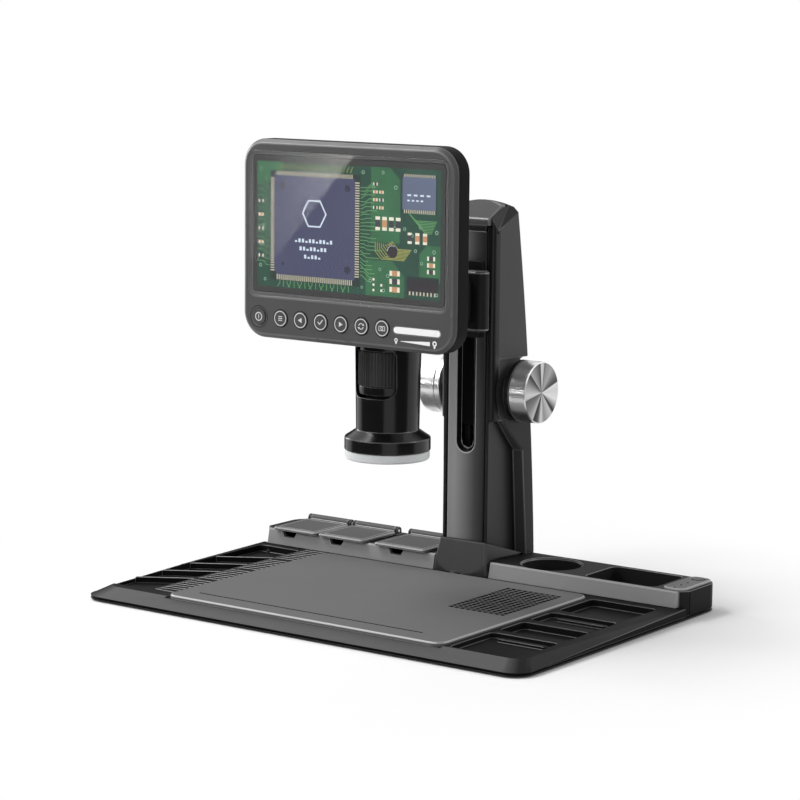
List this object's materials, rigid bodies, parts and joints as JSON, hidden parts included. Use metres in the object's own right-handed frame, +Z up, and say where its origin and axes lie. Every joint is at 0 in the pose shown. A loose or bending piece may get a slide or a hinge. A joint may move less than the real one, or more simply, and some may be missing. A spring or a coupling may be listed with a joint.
{
  "type": "lcd digital microscope",
  "caption": "Desktop digital microscope: a wide screen and barrel on a rack-driven column, with a storage base, work mat and flip-lid parts boxes.",
  "frame": {"origin": "middle of the base's footprint, on the table", "axes": "+Z up, +X to the right of someone facing the screen, +Y to the back; the column is at the rear"},
  "size_m": [0.372, 0.2565, 0.3271],
  "materials": {
    "black_plastic": "satin",
    "frame_plastic": "satin",
    "mat_rubber": "matte",
    "gray_plastic": "satin",
    "lid_plastic": "satin",
    "comb_plastic": "matte",
    "column_paint": "satin",
    "housing_plastic": "satin",
    "knob_aluminium": "spun",
    "slide_aluminium": "milled",
    "steel": "bright",
    "brass": "machined",
    "black_rubber": "matte",
    "brake_plastic": "matte",
    "screen_glass": "polished",
    "display": "lit",
    "board": "satin",
    "button_plastic": "gloss",
    "white_plastic": "gloss",
    "barrel_plastic": "satin",
    "wheel_plastic": "ribbed",
    "lens_glass": "coated",
    "diffuser_plastic": "milky",
    "lens_cover": "gloss"
  },
  "bodies": {
    "base": {"base_tray": "black_plastic", "rear_shelf": "black_plastic", "base_cover": "black_plastic", "cover_screws": "steel", "rubber_feet": "black_rubber", "work_mat": "mat_rubber", "comb_strip": "comb_plastic", "bin_ribs": "black_plastic", "fascia": "gray_plastic", "lid_pins": "steel", "control_pad": "gray_plastic", "status_lenses": "lens_cover", "pad_board": "board", "power_inlet": "steel", "column_foot": "housing_plastic", "column_post": "column_paint", "column_housing": "housing_plastic", "column_cap": "housing_plastic", "column_screws": "steel", "shaft_bushes": "brass", "knob_collars": "black_plastic"},
    "lid_left": {"box_lid_left": "lid_plastic"},
    "lid_middle": {"box_lid_middle": "lid_plastic"},
    "lid_right": {"box_lid_right": "lid_plastic"},
    "pad_key": {"pad_button": "button_plastic"},
    "focus_drive": {"focus_shaft": "steel", "pinion": "brass", "knob_left": "knob_aluminium", "knob_right": "knob_aluminium"},
    "lock": {"lock_knob": "black_plastic", "brake_pad": "brake_plastic"},
    "head": {"carriage_slide": "slide_aluminium", "rack": "brass", "slot_wiper": "black_rubber", "carriage_block": "housing_plastic", "head_arm": "housing_plastic", "head_core": "housing_plastic", "screen_bezel": "frame_plastic", "screen_glass": "screen_glass", "lcd_panel": "display", "rear_cover": "housing_plastic", "rear_screws": "steel", "main_board": "board", "button_board": "board", "touch_strip": "white_plastic", "barrel_shell": "barrel_plastic", "wheel_seat": "barrel_plastic", "sensor_board": "board", "led_ring": "white_plastic", "diffuser": "diffuser_plastic"},
    "focus_ring": {"focus_wheel": "wheel_plastic"},
    "lens": {"lens_carrier": "wheel_plastic", "objective_lens": "lens_glass"},
    "key_power": {"button_power": "button_plastic"},
    "key_menu": {"button_menu": "button_plastic"},
    "key_left": {"button_left": "button_plastic"},
    "key_ok": {"button_ok": "button_plastic"},
    "key_right": {"button_right": "button_plastic"},
    "key_rotate": {"button_rotate": "button_plastic"},
    "key_camera": {"button_camera": "button_plastic"}
  },
  "joints": [
    {"name": "lid_left_hinge", "type": "hinge", "parent": "base", "child": "lid_left", "pos_m": [-0.15243, 0.1194, 0.023], "axis": [-1, 0, 0], "range_deg": [0, 100]},
    {"name": "lid_middle_hinge", "type": "hinge", "parent": "base", "child": "lid_middle", "pos_m": [-0.10853, 0.1194, 0.023], "axis": [-1, 0, 0], "range_deg": [0, 100]},
    {"name": "lid_right_hinge", "type": "hinge", "parent": "base", "child": "lid_right", "pos_m": [-0.05403, 0.1194, 0.023], "axis": [-1, 0, 0], "range_deg": [0, 100]},
    {"name": "pad_key_press", "type": "slide", "parent": "base", "child": "pad_key", "axis": [0, 0, -1], "range_m": [0, 0.0005], "stiffness_N_per_m": 600, "springref_m": -0.0005},
    {"name": "head_lift", "type": "slide", "parent": "base", "child": "head", "axis": [0, 0, 1], "range_m": [-0.087, 0.015]},
    {"name": "focus_knob_turn", "type": "hinge", "parent": "base", "child": "focus_drive", "pos_m": [0, 0.107, 0.143], "axis": [1, 0, 0], "range_deg": [-123, 713]},
    {"name": "lock_knob_turn", "type": "hinge", "parent": "base", "child": "lock", "pos_m": [0.0099, 0.12, 0.171], "axis": [0, 1, 0], "range_deg": [-180, 180]},
    {"name": "focus_wheel_turn", "type": "hinge", "parent": "head", "child": "focus_ring", "pos_m": [0, -0.0165, 0.171], "axis": [0, 0, 1], "range_deg": [-135, 135]},
    {"name": "lens_travel", "type": "slide", "parent": "head", "child": "lens", "axis": [0, 0, 1], "range_m": [-0.0041, 0.0041]},
    {"name": "key_power_press", "type": "slide", "parent": "head", "child": "key_power", "axis": [0, 1, 0], "range_m": [0, 0.0006], "stiffness_N_per_m": 500, "springref_m": -0.0005},
    {"name": "key_menu_press", "type": "slide", "parent": "head", "child": "key_menu", "axis": [0, 1, 0], "range_m": [0, 0.0006], "stiffness_N_per_m": 500, "springref_m": -0.0005},
    {"name": "key_left_press", "type": "slide", "parent": "head", "child": "key_left", "axis": [0, 1, 0], "range_m": [0, 0.0006], "stiffness_N_per_m": 500, "springref_m": -0.0005},
    {"name": "key_ok_press", "type": "slide", "parent": "head", "child": "key_ok", "axis": [0, 1, 0], "range_m": [0, 0.0006], "stiffness_N_per_m": 500, "springref_m": -0.0005},
    {"name": "key_right_press", "type": "slide", "parent": "head", "child": "key_right", "axis": [0, 1, 0], "range_m": [0, 0.0006], "stiffness_N_per_m": 500, "springref_m": -0.0005},
    {"name": "key_rotate_press", "type": "slide", "parent": "head", "child": "key_rotate", "axis": [0, 1, 0], "range_m": [0, 0.0006], "stiffness_N_per_m": 500, "springref_m": -0.0005},
    {"name": "key_camera_press", "type": "slide", "parent": "head", "child": "key_camera", "axis": [0, 1, 0], "range_m": [0, 0.0006], "stiffness_N_per_m": 500, "springref_m": -0.0005}
  ],
  "couplings": [
    {"joint": "focus_knob_turn", "follows": "head_lift", "rad_per_m": -142.86},
    {"joint": "lens_travel", "follows": "focus_wheel_turn", "m_per_rad": 0.0017}
  ]
}
